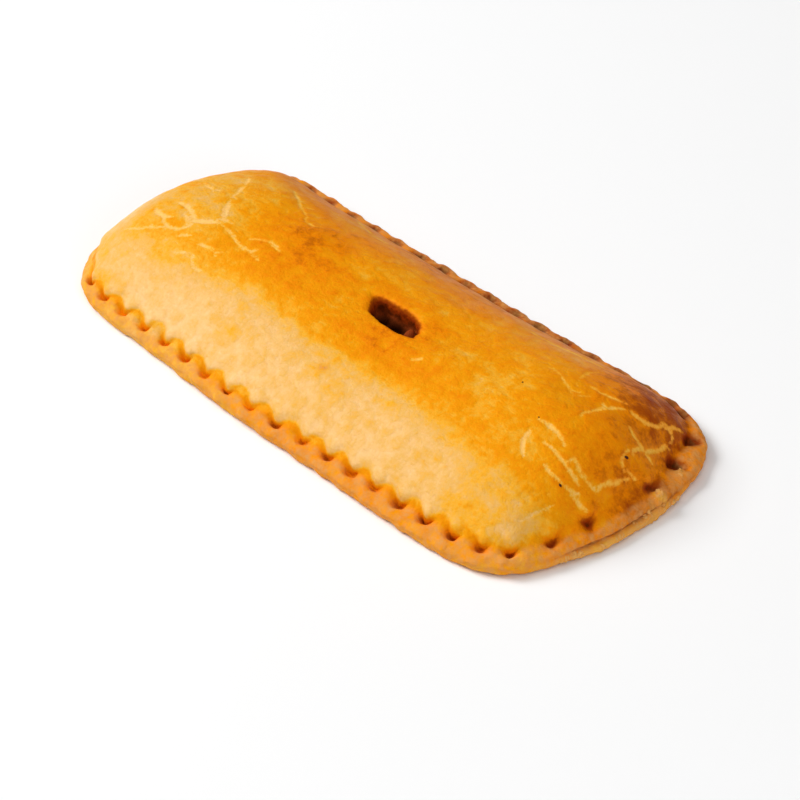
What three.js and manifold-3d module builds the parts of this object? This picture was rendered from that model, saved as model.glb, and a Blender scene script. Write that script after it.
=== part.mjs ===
// A baked empanadilla: a long rectangular pastry, filled, domed, and crimped shut all round its edge.
// Millimetres, +Z up. The origin is the middle of the flat bottom, +X runs along the length
// and -Y is the near side.
import * as THREE from "three";
import { LoftGeometry } from "three/addons/geometries/LoftGeometry.js";
import { mergeVertices } from "three/addons/utils/BufferGeometryUtils.js";
import Module from "manifold-3d";

// Overall size of the pastry
const LENGTH = 180;
const WIDTH = 82;
const CROWN_HEIGHT = 21.4;

// Plan outline: |x|^p + |y|^q = 1, straight along the sides and round at the ends.
// The dome falls off the same way.
const SIDE_STRAIGHTNESS = 10;
const END_ROUNDNESS = 2.1;
const NEWTON_STEPS = 12;
const ARC_DIVISIONS = 4000;

// Where the hand-closed edge strays from that outline: the place is a share of the way round,
// counterclockwise from +X
const EDGE_BULGES = [
  { at: 0.733, amount: 1.1, spread: 28 },
  { at: 0.65, amount: -0.5, spread: 16 },
  { at: 0.83, amount: 0.4, spread: 18 },
  { at: 0.95, amount: -1.1, spread: 10 },
  { at: 0.075, amount: 0.6, spread: 9 },
  { at: 0.105, amount: 0.3, spread: 10 },
  { at: 0.27, amount: -2.0, spread: 62 },
  { at: 0.365, amount: -1.3, spread: 22 },
  { at: 0.415, amount: 0.8, spread: 7 },
  { at: 0.425, amount: 1.3, spread: 14 },
  { at: 0.553, amount: 0.6, spread: 6 },
];

// Section of the rim between two teeth, outside to inside, as [distance in from the edge, height]
const NEAR_RIM = [
  [3.0, 0.0],
  [0.7, 0.35],
  [0.05, 1.2],
  [0.0, 2.0],
  [0.12, 2.8],
  [0.45, 3.5],
  [1.05, 4.1],
  [1.9, 4.6],
  [2.6, 5.2],
  [3.3, 6.0],
];
// The same rows on the far side, where the rim is pressed flatter
const FAR_RIM = [
  [3.0, 0.0],
  [0.7, 0.35],
  [0.05, 1.2],
  [0.0, 2.0],
  [0.12, 2.8],
  [0.4, 3.4],
  [0.9, 3.9],
  [1.7, 4.3],
  [2.8, 4.5],
  [3.9, 4.7],
];
// Where the far side starts and is fully reached, across the pastry
const FAR_SIDE = [0, 28];
// The same rows where the two sheets of dough part: a lower ledge, the gap, and the lip of the upper sheet
const OPEN_RIM = [
  [3.0, 0.0],
  [0.6, 0.3],
  [0.0, 1.2],
  [0.25, 2.2],
  [1.9, 2.75],
  [1.3, 3.2],
  [1.45, 3.9],
  [2.3, 4.8],
  [3.8, 5.8],
  [5.6, 7.2],
];
// Where the sheets part, and where the rim is pressed wider or narrower: places as for the bulges
const OPEN_SEAMS = [
  { at: 0.992, amount: 1.6, spread: 14 },
  { at: 0.47, amount: 0.4, spread: 20 },
];
const RIM_WIDENINGS = [
  { at: 0.9, amount: 0.35, spread: 50 },
  { at: 0.75, amount: -0.18, spread: 18 },
  { at: 0.545, amount: -0.4, spread: 24 },
  { at: 0.11, amount: -0.5, spread: 20 },
  { at: 0.055, amount: 0.7, spread: 15 },
];

// Teeth of the crimp
const TEETH = 53;
const COLUMNS_PER_TOOTH = 5;
const PIT_HALF_LENGTH = 2.1;
const PIT_FLOOR = 2.4;
const OPEN_PIT_FLOOR = 5.2;
// How much of a pit's depth the last rows of the rim take, the crease last, on the near and on the far side
const PIT_SHARES = [0.12, 0.68, 1];
const FAR_PIT_SHARES = [0.35, 0.75, 1];
const PIT_WALL = 0.7;
const LOBE_OUT = 1.1;
const LOBE_HALF_LENGTH = 2.3;
const LOBE_LEAD = 0.8;
const LOBE_CREST = 1.0;
// What is left of the lobes on the far side
const FAR_LOBE = 0.2;
const SADDLE_IN = 0.35;
const RIM_BUMP = 0.6;
const RIM_BUMP_HALF_LENGTH = 2.6;
const FIRST_BUMP_ROW = 4;
const LAST_BUMP_ROW = 7;
const TOOTH_UNEVENNESS = 0.25;
const RUBBED_OUT_TEETH = [0, 3, 30, 52];
// Teeth that slid along the edge, one by one and as a row, in parts of the pitch
const SLID_TEETH = new Map([
  [1, 0.16],
  [2, 0.64],
  [5, 0.42],
  [50, 0.4],
  [51, 0.7],
]);
const TOOTH_STRAYS = [
  { at: 0.783, amount: 0.25, spread: 22 },
  { at: 0.62, amount: 0.19, spread: 50 },
];

// Dome over the filling: the lower the power, the fuller the slope.
// It strays round the edge as the bulges do.
const DOME_POWER = 0.7;
const DOME_POWER_STRAYS = [
  { at: 0.25, amount: 0.17, spread: 75 },
  { at: 0.52, amount: -0.12, spread: 32 },
  { at: 0.0, amount: 0.4, spread: 32 },
];
const DOME_SOFTNESS = 0.06;
const DOME_ROWS = [0.012, 0.028, 0.055, 0.1, 0.17, 0.27, 0.4, 0.57, 0.78];
const SAG = 2.6;
const SAG_LENGTH = 34;
const SAG_WIDTH = 26;
const SURFACE_WAVES = 5;
const WAVE_HEIGHT = 0.22;
const LONGEST_WAVE = 62;
const WAVE_STEP = 0.45;

// Vent cut through the top crust, showing the filling below
const VENT_X = 5.6;
const VENT_Y = -0.3;
const VENT_LENGTH = 16.6;
const VENT_WIDTH = 7.6;
const VENT_SLANT = -0.55;
const VENT_SQUARENESS = 3.5;
const VENT_COLUMNS = 36;
const VENT_DEPTH = 6.5;
const VENT_FLOOR_LUMPS = 3;
const VENT_FLOOR_LUMP_HEIGHT = 0.5;
const VENT_TOP = CROWN_HEIGHT + 4;
// Rows of the vent, as [share of its width, height above its floor]
const VENT_ROWS = [
  [0.6, 0.0],
  [0.88, 1.2],
  [0.97, 4.6],
  [1.05, 6.2],
  [1.5, 8.4],
];

const CRUST_COLOUR = "#e2a24a";
const CRUST_ROUGHNESS = 0.5;
const MERGE_DISTANCE = 1e-3;
const GOLDEN_ANGLE = Math.PI * (3 - Math.sqrt(5));
const SCATTER_STEP = 12.9898;
const SCATTER_SEED = 4.1414;
const SCATTER_SCALE = 43758.5453;

const COLUMNS = TEETH * COLUMNS_PER_TOOTH;
const SPINE_HALF_LENGTH = (LENGTH - WIDTH) / 2;

// The plan outline as a curve, counterclockwise from the middle of the +X end
class PastryOutline extends THREE.Curve {
  getPoint(share, target = new THREE.Vector2()) {
    const angle = 2 * Math.PI * share;
    const across = Math.abs(Math.cos(angle));
    const up = Math.abs(Math.sin(angle));
    let reach = 1;
    for (let step = 0; step < NEWTON_STEPS; step++) {
      const lengthTerm = (reach * across) ** SIDE_STRAIGHTNESS;
      const widthTerm = (reach * up) ** END_ROUNDNESS;
      const slope = (SIDE_STRAIGHTNESS * lengthTerm + END_ROUNDNESS * widthTerm) / reach;
      reach -= (lengthTerm + widthTerm - 1) / slope;
    }
    return target.set(
      (LENGTH / 2) * reach * Math.cos(angle),
      (WIDTH / 2) * reach * Math.sin(angle),
    );
  }
}

// How far out a place lies: 0 in the middle, 1 on the plan outline
function outness(x, y) {
  const lengthTerm = Math.abs(x / (LENGTH / 2)) ** SIDE_STRAIGHTNESS;
  const widthTerm = Math.abs(y / (WIDTH / 2)) ** END_ROUNDNESS;
  return lengthTerm + widthTerm;
}

const outline = new PastryOutline();
outline.arcLengthDivisions = ARC_DIVISIONS;
const edgeLength = outline.getLength();

// A number from 0 to 1 that looks random and is fixed for each whole number
function scatter(index) {
  const value = Math.sin(index * SCATTER_STEP + SCATTER_SEED) * SCATTER_SCALE;
  return value - Math.floor(value);
}

// A bell of height 1, from a distance and a half width
function bell(distance, spread) {
  return Math.exp(-((distance / spread) ** 2));
}

// Distance along the edge between two shares of the way round, the short way and with its sign
function alongEdge(share, at) {
  return (THREE.MathUtils.euclideanModulo(share - at + 0.5, 1) - 0.5) * edgeLength;
}

// What the given strays, each a place, an amount and a spread, add up to at one share of the way round
function strayAt(share, strays) {
  return strays.reduce(
    (sum, { at, amount, spread }) => sum + amount * bell(alongEdge(share, at), spread),
    0,
  );
}

function toothStrength(tooth) {
  if (RUBBED_OUT_TEETH.includes(tooth)) return 0;
  return 1 - TOOTH_UNEVENNESS * scatter(tooth);
}

// How strongly the teeth press at one place, with a shape of the given half length set off along the edge
function crimpAt(share, halfLength, lead) {
  let most = 0;
  for (let tooth = 0; tooth < TEETH; tooth++) {
    const slide = (SLID_TEETH.get(tooth) ?? 0) + strayAt(tooth / TEETH, TOOTH_STRAYS);
    const distance = alongEdge(share, (tooth + slide) / TEETH) - lead;
    most = Math.max(most, toothStrength(tooth) * bell(distance, halfLength));
  }
  return most;
}

// Low swells over the whole crust, from a few crossing waves
function swell(x, y) {
  let height = 0;
  for (let wave = 1; wave <= SURFACE_WAVES; wave++) {
    const heading = wave * GOLDEN_ANGLE;
    const waveNumber = (2 * Math.PI * (1 + WAVE_STEP * wave)) / LONGEST_WAVE;
    const run = x * Math.cos(heading) + y * Math.sin(heading);
    height += Math.sin(run * waveNumber + 2 * Math.PI * scatter(wave)) / SURFACE_WAVES;
  }
  return height * WAVE_HEIGHT * SURFACE_WAVES ** 0.5;
}

function sag(x, y) {
  return SAG * bell(x - VENT_X, SAG_LENGTH) * bell(y - VENT_Y, SAG_WIDTH);
}

// Blends two rim sections row by row
function blendRims(first, second, share) {
  return first.map(([inset, height], row) => [
    THREE.MathUtils.lerp(inset, second[row][0], share),
    THREE.MathUtils.lerp(height, second[row][1], share),
  ]);
}

// One column of the pastry: its place on the edge, the rim's rows there, its tooth, and the spine above it
function columnAt(index) {
  const share = index / COLUMNS;
  const edge = outline.getPointAt(share);
  const tangent = outline.getTangentAt(share);
  const outward = new THREE.Vector2(tangent.y, -tangent.x);
  edge.addScaledVector(outward, strayAt(share, EDGE_BULGES));
  const open = Math.min(strayAt(share, OPEN_SEAMS), 1);
  const widening = 1 + strayAt(share, RIM_WIDENINGS);
  const far = THREE.MathUtils.smoothstep(edge.y, ...FAR_SIDE);
  const shut = blendRims(NEAR_RIM, FAR_RIM, far);
  const widened = shut.map(([inset, height]) => [inset * widening, height]);
  const rim = blendRims(widened, OPEN_RIM, open);
  const [crimpInset, crimpHeight] = rim[rim.length - 1];
  const pitFloor = THREE.MathUtils.lerp(PIT_FLOOR, OPEN_PIT_FLOOR, open);
  return {
    edge,
    outward,
    far,
    rim,
    foot: edge.clone().addScaledVector(outward, -crimpInset),
    footHeight: crimpHeight,
    pitDrop: crimpAt(share, PIT_HALF_LENGTH, 0) * (crimpHeight - pitFloor),
    lobe: crimpAt(share, LOBE_HALF_LENGTH, LOBE_LEAD) * THREE.MathUtils.lerp(1, FAR_LOBE, far),
    bump: RIM_BUMP * crimpAt(share, RIM_BUMP_HALF_LENGTH, 0) * (1 - open),
    power: DOME_POWER + strayAt(share, DOME_POWER_STRAYS),
    spine: new THREE.Vector2(SPINE_HALF_LENGTH * Math.cos(2 * Math.PI * share), 0),
  };
}

// A rim row: the teeth push its outer rows out and press pits into the last ones
function rimSection(columns, row) {
  const pitRow = row - NEAR_RIM.length + PIT_SHARES.length;
  const bumpShare = row >= FIRST_BUMP_ROW && row <= LAST_BUMP_ROW ? 1 : 0;
  return columns.map(({ edge, outward, far, rim, pitDrop, bump }) => {
    const [inset, height] = rim[row];
    const pitShare = THREE.MathUtils.lerp(PIT_SHARES[pitRow] ?? 0, FAR_PIT_SHARES[pitRow] ?? 0, far);
    const place = edge.clone().addScaledVector(outward, bump * bumpShare - inset);
    return new THREE.Vector3(place.x, place.y, height - pitDrop * pitShare);
  });
}

// How high the dome has risen, from 0 at the crimp to 1 on the spine
function domeRise(place, foot, power) {
  const inside = 1 - outness(place.x, place.y) / outness(foot.x, foot.y);
  const start = DOME_SOFTNESS ** power;
  return ((inside + DOME_SOFTNESS) ** power - start) / ((1 + DOME_SOFTNESS) ** power - start);
}

// A dome row, at a share of the way from the crimp to the spine: lobes swell over the pits and fade upwards
function domeSection(columns, share) {
  return columns.map(({ outward, foot, footHeight, pitDrop, lobe, power, spine }) => {
    const place = foot.clone().lerp(spine, share);
    const rise = domeRise(place, foot, power);
    const reach = share * foot.distanceTo(spine);
    const crest = (reach / LOBE_CREST) * Math.exp((1 - (reach / LOBE_CREST) ** 2) / 2);
    place.addScaledVector(outward, (LOBE_OUT * lobe - SADDLE_IN * (1 - lobe)) * crest);
    const relief = swell(place.x, place.y) - sag(place.x, place.y);
    const drop = pitDrop * bell(reach, PIT_WALL);
    const height = footHeight + (CROWN_HEIGHT - footHeight + relief) * rise - drop;
    return new THREE.Vector3(place.x, place.y, height);
  });
}

function spineSection(columns, heightAt) {
  return columns.map(({ spine }) => new THREE.Vector3(spine.x, 0, heightAt(spine.x)));
}

// The whole pastry without its vent: lofted from the middle line of the bottom, round the rim,
// to the middle line of the dome
function pastryGeometry() {
  const columns = Array.from({ length: COLUMNS }, (_, index) => columnAt(index));
  const crownAt = (x) => CROWN_HEIGHT + swell(x, 0) - sag(x, 0);
  const sections = [
    spineSection(columns, () => 0),
    ...NEAR_RIM.map((_, row) => rimSection(columns, row)),
    ...DOME_ROWS.map((share) => domeSection(columns, share)),
    spineSection(columns, crownAt),
  ];
  return new LoftGeometry(sections);
}

// The sine or cosine of a rounded box instead of a circle
function squared(value) {
  return Math.sign(value) * Math.abs(value) ** (2 / VENT_SQUARENESS);
}

// The space of the vent: slanted at its ends, narrow and lumpy at the bottom, flared at the crust
function ventGeometry() {
  const floor = CROWN_HEIGHT - SAG - VENT_DEPTH;
  const ring = (widthShare, height, lumpHeight) =>
    Array.from({ length: VENT_COLUMNS }, (_, column) => {
      const angle = (2 * Math.PI * column) / VENT_COLUMNS;
      const y = (VENT_WIDTH / 2) * widthShare * squared(Math.sin(angle));
      const x = (VENT_LENGTH / 2) * widthShare * squared(Math.cos(angle)) + VENT_SLANT * y;
      const rise = lumpHeight * Math.sin(VENT_FLOOR_LUMPS * angle);
      return new THREE.Vector3(VENT_X + x, VENT_Y + y, height + rise);
    });
  const sections = VENT_ROWS.map(([widthShare, height], row) =>
    ring(widthShare, floor + height, row === 0 ? VENT_FLOOR_LUMP_HEIGHT : 0),
  );
  sections.push(ring(VENT_ROWS[VENT_ROWS.length - 1][0], VENT_TOP, 0));
  return new LoftGeometry(sections, { capStart: true, capEnd: true });
}

const wasm = await Module();
wasm.setup();

// A geometry's position alone, merged, as a solid that can be cut
function solidFrom(geometry) {
  const bare = new THREE.BufferGeometry();
  bare.setAttribute("position", geometry.getAttribute("position"));
  bare.setIndex(geometry.getIndex());
  const merged = mergeVertices(bare, MERGE_DISTANCE);
  const mesh = new wasm.Mesh({
    numProp: 3,
    vertProperties: merged.attributes.position.array,
    triVerts: new Uint32Array(merged.index.array),
  });
  return new wasm.Manifold(mesh);
}

function geometryFrom(solid) {
  const mesh = solid.getMesh();
  const geometry = new THREE.BufferGeometry();
  geometry.setAttribute("position", new THREE.BufferAttribute(mesh.vertProperties, 3));
  geometry.setIndex(new THREE.BufferAttribute(mesh.triVerts, 1));
  return geometry;
}

// Set the middle of the bottom on the origin, whatever the bulges of the edge
function centred(geometry) {
  geometry.computeBoundingBox();
  const middle = geometry.boundingBox.getCenter(new THREE.Vector3());
  geometry.translate(-middle.x, -middle.y, 0);
  geometry.computeVertexNormals();
  return geometry;
}

const pastrySolid = solidFrom(pastryGeometry()).subtract(solidFrom(ventGeometry()));
const crust = new THREE.MeshStandardMaterial({
  color: CRUST_COLOUR,
  roughness: CRUST_ROUGHNESS,
  metalness: 0,
});
const pastry = new THREE.Mesh(centred(geometryFrom(pastrySolid)), crust);
pastry.name = "pastry";

const empanadilla = new THREE.Group();
empanadilla.add(pastry);

export default empanadilla;
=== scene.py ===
import math

import bmesh
import bpy
import numpy as np
from bpy.props import FloatProperty, FloatVectorProperty, IntProperty, PointerProperty
from mathutils import Euler, Matrix, Vector, noise
from mathutils.kdtree import KDTree


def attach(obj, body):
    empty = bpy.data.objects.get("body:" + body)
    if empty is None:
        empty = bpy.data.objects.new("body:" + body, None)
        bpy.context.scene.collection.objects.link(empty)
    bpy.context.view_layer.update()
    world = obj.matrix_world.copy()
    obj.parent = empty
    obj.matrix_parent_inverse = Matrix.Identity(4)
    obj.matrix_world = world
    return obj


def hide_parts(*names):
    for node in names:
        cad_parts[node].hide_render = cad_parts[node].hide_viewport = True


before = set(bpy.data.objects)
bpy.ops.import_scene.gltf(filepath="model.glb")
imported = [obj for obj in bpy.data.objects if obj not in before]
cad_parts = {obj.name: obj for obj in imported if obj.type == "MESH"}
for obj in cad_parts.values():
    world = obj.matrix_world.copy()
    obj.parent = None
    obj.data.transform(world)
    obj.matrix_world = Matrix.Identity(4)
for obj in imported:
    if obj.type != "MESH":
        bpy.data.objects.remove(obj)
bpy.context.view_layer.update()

bl_info = {
    "name": "Empanadilla",
    "version": (1, 0, 0),
    "blender": (4, 5, 0),
    "location": "3D View > Sidebar > Pastry",
    "description": "A baked empanadilla, brushed with egg and crimped all round, in a plain studio",
    "category": "Add Mesh",
}

MM = 0.001
CAD_NODE = "pastry"
BODY = "root"

# The form below is the solid's own, in millimetres: +X along the pastry, -Y the near side, +Z up.

# Plan outline |x|^p + |y|^q = 1: straight along the sides, round at the ends
SIDE_STRAIGHTNESS = 10.0
END_ROUNDNESS = 2.1
NEWTON_STEPS = 12
ARC_DIVISIONS = 4000

# Where the hand-closed edge strays from that outline: (share of the way round from +X, out, spread)
EDGE_BULGES = (
    (0.733, 1.1, 28.0),
    (0.65, -0.5, 16.0),
    (0.83, 0.4, 18.0),
    (0.95, -1.1, 10.0),
    (0.075, 0.6, 9.0),
    (0.105, 0.3, 10.0),
    (0.27, -2.0, 62.0),
    (0.365, -1.3, 22.0),
    (0.415, 0.8, 7.0),
    (0.425, 1.3, 14.0),
    (0.553, 0.6, 6.0),
)

# Section of the rim from outside to inside, between two teeth: (distance in from the edge, height)
RIM_FOOT = ((3.0, 0.0), (0.7, 0.35), (0.05, 1.2), (0.0, 2.0), (0.12, 2.8))
NEAR_RIM = np.array([*RIM_FOOT, (0.45, 3.5), (1.05, 4.1), (1.9, 4.6), (2.6, 5.2), (3.3, 6.0)])
FAR_RIM = np.array([*RIM_FOOT, (0.4, 3.4), (0.9, 3.9), (1.7, 4.3), (2.8, 4.5), (3.9, 4.7)])
# Where the near side gives way to the far side, across the pastry
FAR_SIDE = (0.0, 28.0)
# The section where the two sheets of dough part: a ledge, the gap, and the lip of the upper sheet
OPEN_RIM = np.array(
    [(3.0, 0.0), (0.6, 0.3), (0.0, 1.2), (0.25, 2.2), (1.9, 2.75),
     (1.3, 3.2), (1.45, 3.9), (2.3, 4.8), (3.8, 5.8), (5.6, 7.2)]
)
# Where they part: (share of the way round, how much, spread)
OPEN_SEAMS = ((0.992, 1.6, 14.0), (0.47, 0.4, 20.0))
# Where the rim is pressed wider or narrower: (share of the way round, how much, spread)
RIM_WIDENINGS = (
    (0.9, 0.35, 50.0),
    (0.75, -0.18, 18.0),
    (0.545, -0.4, 24.0),
    (0.11, -0.5, 20.0),
    (0.055, 0.7, 15.0),
)

# Teeth of the crimp
PIT_HALF_LENGTH = 2.1
PIT_FLOOR = 2.4
OPEN_PIT_FLOOR = 5.2
# Rim rows that a pit presses down: (row, part of its depth on the near side, part on the far side)
PIT_ROWS = ((-3, 0.12, 0.35), (-2, 0.68, 0.75), (-1, 1.0, 1.0))
PIT_WALL = 0.7
LOBE_HALF_LENGTH = 2.3
LOBE_LEAD = 0.8
LOBE_CREST = 1.0
FAR_LOBE = 0.2  # what is left of the lobes on the far side
SADDLE_IN = 0.35
RIM_BUMP = 0.6
RIM_BUMP_ROWS = slice(4, 8)
RIM_BUMP_HALF_LENGTH = 2.6
TOOTH_UNEVENNESS = 0.25
RUBBED_OUT_TEETH = (0, 3, 30, 52)
# Teeth that slid along the edge, one by one and as a row, in parts of the pitch
SLID_TEETH = {1: 0.16, 2: 0.64, 5: 0.42, 50: 0.4, 51: 0.7}
TOOTH_STRAYS = ((0.783, 0.25, 22.0), (0.62, 0.19, 50.0))

# Dome over the filling: the lower the power, the fuller the slope, with its strays round the edge
DOME_POWER = 0.7
DOME_POWER_STRAYS = ((0.25, 0.17, 75.0), (0.52, -0.12, 32.0), (0.0, 0.4, 32.0))
DOME_SOFTNESS = 0.06
SAG_LENGTH = 34.0
SAG_WIDTH = 26.0
SURFACE_WAVES = 5
WAVE_HEIGHT = 0.22
LONGEST_WAVE = 62.0
WAVE_STEP = 0.45
GOLDEN_ANGLE = math.pi * (3.0 - math.sqrt(5.0))
SCATTER_STEP = 12.9898
SCATTER_SEED = 4.1414
SCATTER_SCALE = 43758.5453

# Vent cut in the top crust: its middle, slant, squareness, and its wall as (share of its width, height)
VENT_X = 5.6
VENT_Y = -0.3
VENT_SLANT = -0.55
VENT_SQUARENESS = 3.5
VENT_WALL = ((0.6, 0.0), (0.88, 1.2), (0.97, 4.6), (1.05, 6.2), (1.5, 8.4))
VENT_REACH = 1.7
VENT_LIP_SOFTNESS = 0.35
VENT_RAGGEDNESS = 0.1
VENT_RAGS = 2.2
VENT_RAG_SEED = 3.7
# The filling in it: where its lumps end, as shares of the vent's width, their size and their height
FILLING_EDGE = (0.8, 1.0)
FILLING_LUMP_SIZE = 3.0
FILLING_LUMP_HEIGHT = 1.3
FILLING_MORSEL = (11.0, 0.0, 2.4, 4.2)  # x, y, spread and height of the morsel that shows

# Fineness of the mesh
COLUMNS_PER_TOOTH = 14
ROWS_PER_RIM_SPAN = 3
BOTTOM_ROWS = 3
DOME_ROWS = 88
FIRST_DOME_STEP = 0.2
MERGE_DISTANCE = 1e-6
VENT_CUTS = 1
# How far from the crimp the bottom counts as being, and how far off a place counts that faces down
BOTTOM_REACH = -20.0
FACING_DOWN = 20.0
# Numbers about the crimp that the dough carries at each vertex until it is baked
CRIMP_FIELDS = ("reach", "pit", "floor", "lobe", "open")

# Unevenness of the baked dough: (wavelength, height), and where the dome's takes over from the rim's
DOME_LUMPS = ((11.0, 0.30), (3.5, 0.13))
RIM_LUMPS = ((5.0, 0.32), (1.9, 0.28))
LEDGE_LUMPS = ((1.3, 0.5),)
DOME_SEED, RIM_SEED, LEDGE_SEED, SQUEEZED_SEED = 1, 2, 3, 4
SEED_SHIFTS = (17.3, 5.1)
LAYER_SHIFT = 31.7
DOME_START = (0.5, 4.0)
BOTTOM_CLEARANCE = 0.6
# How fast the dough becomes smoother in the vent, and how smooth at most
VENT_SMOOTHING = 2.0
VENT_SMOOTHEST = 0.7

# Cracks in the glaze: (x, y, heading in degrees, length, bend in degrees, half width)
CRACKS = (
    (61, -4, 12, 10, -40, 0.6),
    (67, -8, 2, 12, -14, 0.45),
    (71, -12, -14, 10, 69, 0.42),
    (74, -5, -27, 8, 70, 0.5),
    (81, -4, 91, 10, -10, 0.55),
    (81, 6, 21, 7, 82, 0.4),
    (81, 5, 153, 6, -73, 0.4),
    (79, 10, 117, 5, -74, 0.4),
    (66, 5, 93, 14, -32, 0.45),
    (69, 19, 6, 10, 93, 0.45),
    (74, 26, 51, 6, -159, 0.4),
    (78, 23, -76, 9, -15, 0.4),
    (73, 15, -14, 9, 33, 0.52),
    (75, 26, 75, 6, 0, 0.35),
    (78, 23, 41, 3, 0, 0.35),
    (59, 16, 11, 10, 40, 0.45),
    (57, 13, 132, 12, -67, 0.38),
    (48, 13, -1, 13, -27, 0.34),
    (60, 10, 71, 4, 0, 0.34),
    (79, -11, 9, 5, 9, 0.45),
    (76, -25, 59, 10, 26, 0.36),
    (62, -8, -83, 8, 45, 0.36),
    (22, -9, 58, 3, 0, 0.36),
    (30, 25, 5, 22, 12, 0.33),
    (-25, 26, 175, 20, -20, 0.33),
    (-74, 4, -23, 8, 0, 0.53),
    (-67, 14, -52, 14, -13, 0.56),
    (-60, 2, -54, 11, 11, 0.56),
    (-60, -11, 27, 8, 11, 0.56),
    (-53, -7, -8, 19, 4, 0.56),
    (-70, -8, 12, 11, -49, 0.53),
    (-73, -13, -20, 8, 50, 0.53),
    (-68, -14, -49, 12, 140, 0.47),
    (-75, -22, 14, 12, 30, 0.4),
    (-59, -17, 30, 4, 0, 0.45),
    (-52, -16, 27, 8, -52, 0.45),
    (-43, -6, 49, 11, -78, 0.47),
    (-55, 20, -31, 14, 8, 0.4),
    (-42, 13, -68, 9, 136, 0.4),
    (-55, -21, 21, 3, 0, 0.4),
    (-50, -19, -70, 7, 94, 0.4),
)
# Their steps and wander, the taper and unevenness of their width, where they start, and their relief
CRACK_SEED = 11
CRACK_STEP = 0.4
FEWEST_CRACK_STEPS = 3
CRACK_WANDER = math.radians(6.0)
CRACK_STRAIGHTENING = 0.6
CRACK_TAPER = (0.1, 0.9)
CRACK_WIDTHS = (0.65, 1.15)
CRACK_START = 1.0
CRACK_WALL = (-0.4, 0.5)
CRACK_DEPTH = 0.16
CRACK_PALENESS = 0.25
CRACK_REACH = 3.0
# Side branches of the cracks: the spacing, and the first and the next ones in parts of it
BRANCH_SPACING = 20.0
FIRST_BRANCH = (0.3, 0.8)
NEXT_BRANCH = (0.6, 1.4)
BRANCH_CLEARANCE = 1.0
BRANCH_LENGTHS = (1.5, 4.5)
BRANCH_ANGLES = (math.radians(40.0), math.radians(85.0))
BRANCH_WIDTH = 0.65

# Browning of the crust, from 0 for bare dough to 1 for burnt, with painted shade in the pits, on the far
# side and in the vent
BROWNING_ON_TOP = 0.42
BROWNING_ON_RIM = 0.48
# Browning and painted shade in the crimp's pits
BROWNING_AND_SHADE_IN_PITS = 0.32
BROWNING_ON_LOBES = -0.05
BROWNING_ON_VENT_LIP = 0.28
# Darker down the vent: browning of its wall, and painted shade in the hole
BROWNING_AND_SHADE_IN_VENT = 0.4
BROWNING_IN_SEAM = 0.45
PALER_LEFT_RIM = 0.2
PALER_LEDGE = 0.18
# The thin wash is paler, and also carries a painted highlight of the soft light on the near flank
PALER_WASH_AND_HIGHLIGHT = 0.27
# The far side and its rim are darker: browner baking, and painted shadow
DARKER_FAR_SIDE = 0.13
DARKER_FAR_RIM = 0.2
# Deeper browning and painted shade in the pits of the far side and of the right end
DARKER_FAR_PITS = 0.66
DARKER_RIGHT_PITS = 0.18
# Where the far side's browning and painted shadow, the left rim's paleness and the right end's darker
# pits start and are full
FAR_DARKENING = (8.0, 36.0)
LEFT_PALENESS = (0.0, 60.0)
RIGHT_DARKENING = (46.0, 80.0)
# Up the dome from the crimp: where the rim's browning ends, and the middle and spread of the lobes
RIM_BLEND = (-0.8, 0.8)
LOBE_BAND = (2.0, 1.6)
# In from the vent's lip, as shares of its width: the spread of the browned lip, and the wall, browned and
# in painted shade
VENT_LIP_SPREAD = 0.09
VENT_DARKENING = (-0.03, 0.1)
# Heights at the parted end: where the pale ledge ends, and the middle and spread of the dark seam
LEDGE_TOP = (2.3, 2.9)
SEAM_BAND = (2.9, 0.35)
# Stain and painted shade in the pits: its middle and its near and far spreads up the dome, and the
# heights where it fades
PIT_STAIN_AND_SHADE_REACH = -0.3
PIT_STAIN_AND_SHADE_SPREADS = (1.4, 3.0)
PIT_STAIN_AND_SHADE_HEIGHTS = (0.8, 4.2)
# Patches that are browner or paler, two of them partly painted shadow: (x, y, spread, change)
BROWN_PATCHES = (
    (12.0, -5.0, 16.0, 0.13),
    # Deeper orange here, and partly painted shadow
    (-32.0, 4.0, 15.0, 0.17),
    (88.0, 4.0, 17.0, 0.2),
    # Browner glaze here, and partly painted shadow
    (72.0, 27.0, 13.0, 0.22),
    (75.0, -25.0, 7.0, -0.14),
    (-62.0, -10.0, 26.0, -0.08),
    (-72.0, -34.0, 14.0, 0.1),
    (87.3, 10.6, 2.0, -0.3),
    (-72.0, 8.0, 16.0, -0.07),
    (-88.0, -14.0, 3.0, 0.18),
    (6.0, -24.0, 1.4, 0.18),
)

# Thin wash and painted highlight on the near flank: its edge at the right and at the left, where one
# gives way to the other, how wide it fades in, and where and how much of it is lost towards the right
WASH_AND_HIGHLIGHT_EDGES = (8.0, 12.0)
WASH_AND_HIGHLIGHT_TURN = (20.0, 60.0)
WASH_AND_HIGHLIGHT_FADE = 22.0
WASH_AND_HIGHLIGHT_RIGHT = (35.0, 80.0)
WASH_AND_HIGHLIGHT_LOST = 0.7
# Wash and painted highlight round the left end's near corner: where they fade in along the pastry, and
# out across it
WASH_AND_HIGHLIGHT_LEFT = (66.0, 84.0)
WASH_AND_HIGHLIGHT_CORNER = (-12.0, 5.0)
# Where thin wash and painted highlight start and are full, up the dome from the crimp
WASH_AND_HIGHLIGHT_ON_LOBES = (0.0, 1.1)
WASH_AND_HIGHLIGHT_BETWEEN_LOBES = (0.2, 1.9)
# Where the dry rim starts out from the crimp, and how much farther out it does where the sheets part
DRY_RIM = (-1.5, 0.0)
DRY_LIP = 2.2
# Where bare dough starts out from the crimp, the heights where it ends, and its part on the shut rim
BARE_RIM = (-3.4, -2.0)
BARE_HEIGHTS = (1.6, 3.2)
BARE_WHERE_SHUT = 0.1

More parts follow.
